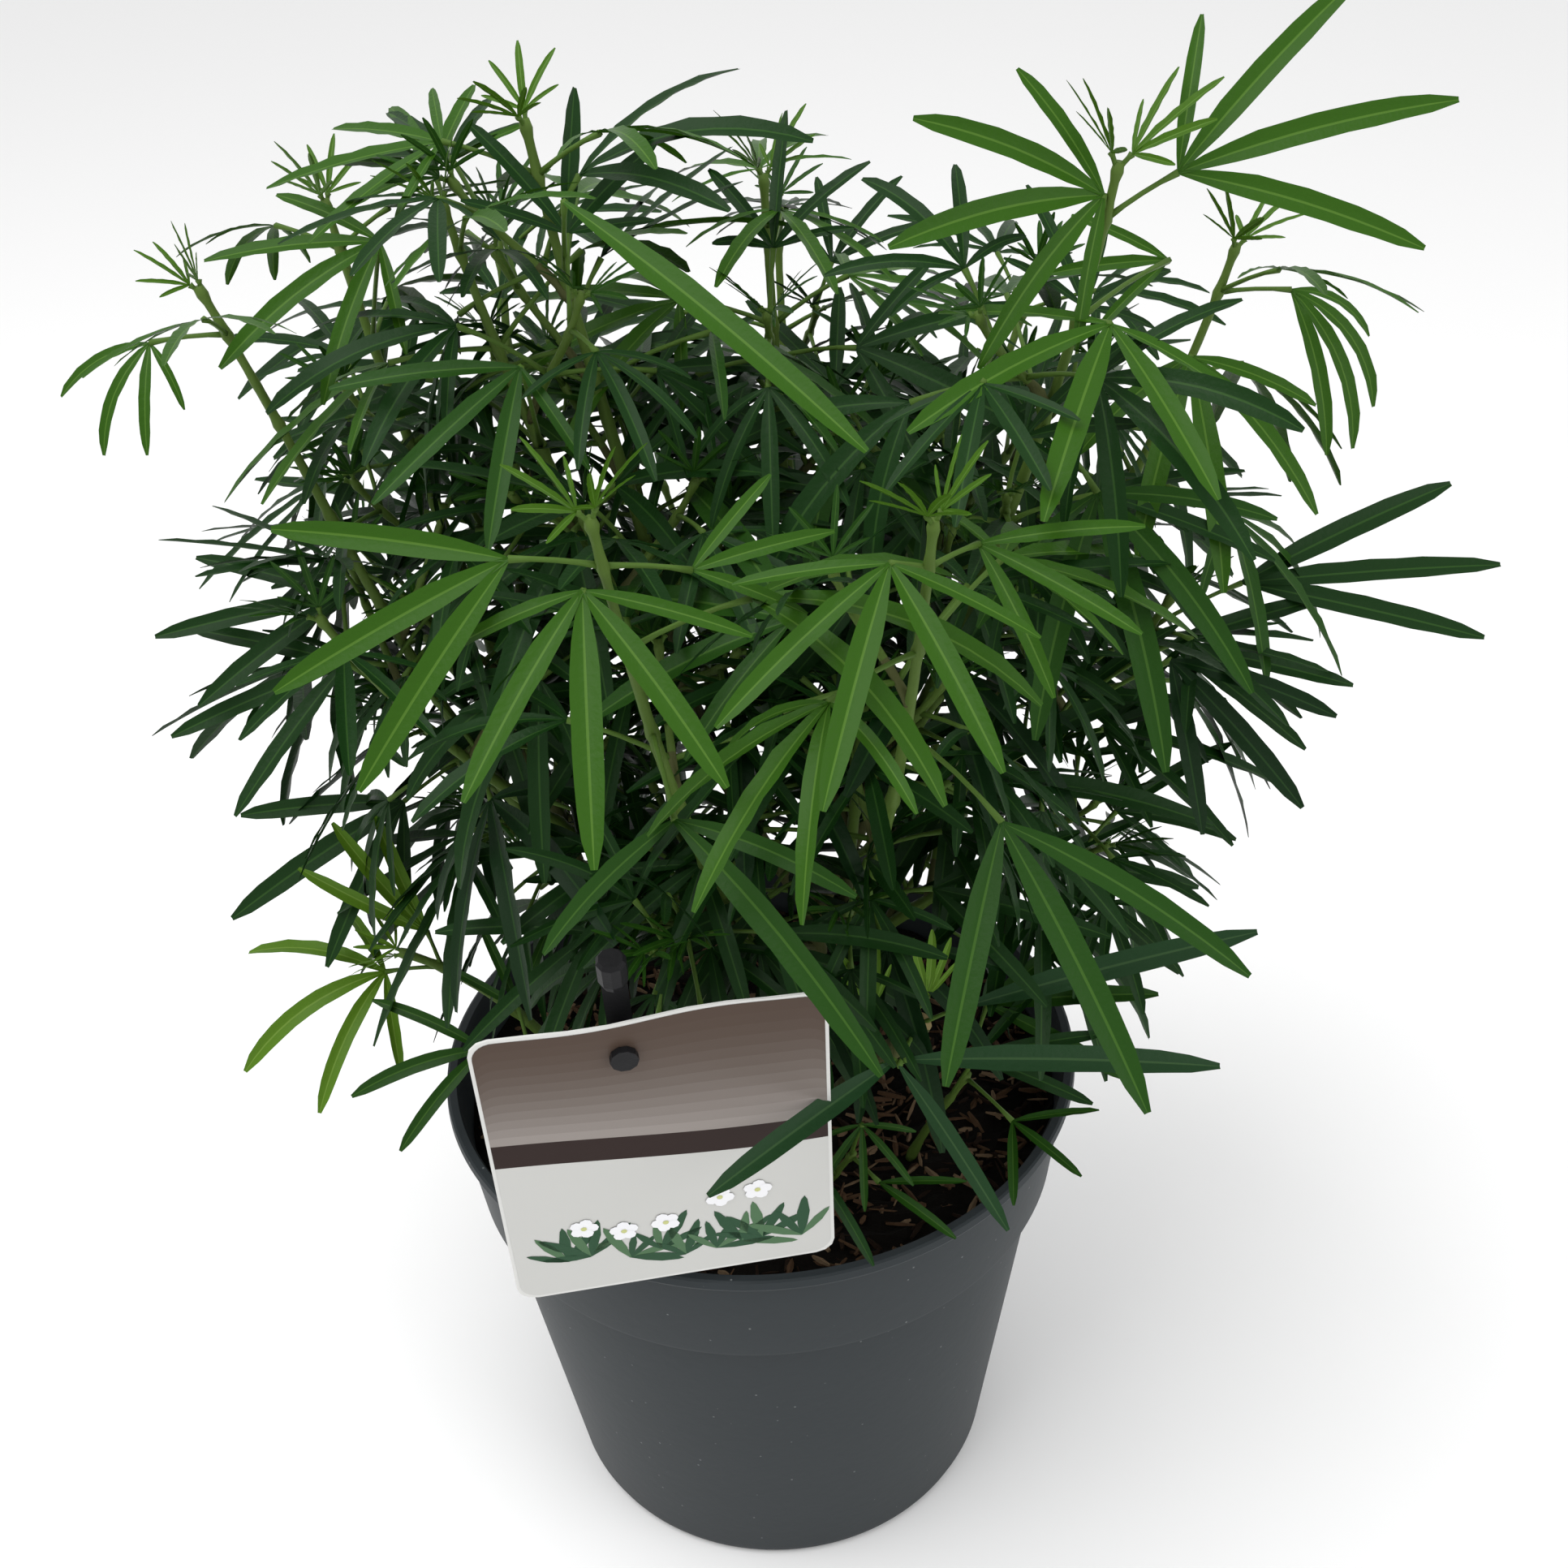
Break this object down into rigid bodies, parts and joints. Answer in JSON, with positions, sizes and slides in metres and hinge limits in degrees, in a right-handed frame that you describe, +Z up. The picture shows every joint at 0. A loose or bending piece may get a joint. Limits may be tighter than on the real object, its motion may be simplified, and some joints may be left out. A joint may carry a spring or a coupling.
{
  "type": "potted aztec pearl mexican orange",
  "caption": "Bushy evergreen shrub with narrow fingered leaves, growing in a round nursery pot with a picture card on a stake.",
  "frame": {"origin": "centre of the pot's flat underside", "axes": "+Z up along the pot; -Y is the side of the picture card, +X is to the right when facing the card"},
  "size_m": [0.3522, 0.3256, 0.4592],
  "materials": {
    "pot_plastic": "dark slate grey, fine specks and scuffs",
    "compost": "dark compost with bark chips",
    "card": null,
    "stake_plastic": "black",
    "green_bark": "thin green bark",
    "fresh_leaf": "satin leaf, mid green",
    "dark_leaf": "satin leaf, dark green",
    "young_leaf": "satin leaf, bright young green"
  },
  "bodies": {
    "root": {"bough_back_mid": "green_bark", "bough_back_right": "green_bark", "bough_front_left": "green_bark", "bough_front_right": "green_bark", "bough_left_back": "green_bark", "bough_left_low": "green_bark", "bough_left_mid": "green_bark", "bough_left_outer": "green_bark", "bough_left_side": "green_bark", "bough_right_second": "green_bark", "bough_right_top": "green_bark", "bough_top_centre": "green_bark", "bough_top_left": "green_bark", "leaves_back_left": "dark_leaf", "leaves_back_low": "dark_leaf", "leaves_back_mid": "dark_leaf", "leaves_back_right": "dark_leaf", "leaves_base_front": "dark_leaf", "leaves_base_left": "dark_leaf", "leaves_base_right": "dark_leaf", "leaves_centre_left": "dark_leaf", "leaves_centre_right": "dark_leaf", "leaves_front_left": "fresh_leaf", "leaves_front_low": "dark_leaf", "leaves_front_mid": "dark_leaf", "leaves_front_right": "fresh_leaf", "leaves_left_back": "fresh_leaf", "leaves_left_back_low": "dark_leaf", "leaves_left_low": "dark_leaf", "leaves_left_mid": "fresh_leaf", "leaves_left_outer": "fresh_leaf", "leaves_left_shoot": "young_leaf", "leaves_left_side": "dark_leaf", "leaves_right_back_low": "dark_leaf", "leaves_right_cut": "dark_leaf", "leaves_right_low": "dark_leaf", "leaves_right_second": "fresh_leaf", "leaves_right_side": "dark_leaf", "leaves_right_top": "fresh_leaf", "leaves_stub": "dark_leaf", "leaves_top_centre": "fresh_leaf", "leaves_top_left": "fresh_leaf", "pot": "pot_plastic", "soil": "compost", "tag": "card", "tag_stake": "stake_plastic", "trunk": "green_bark"}
  },
  "joints": []
}
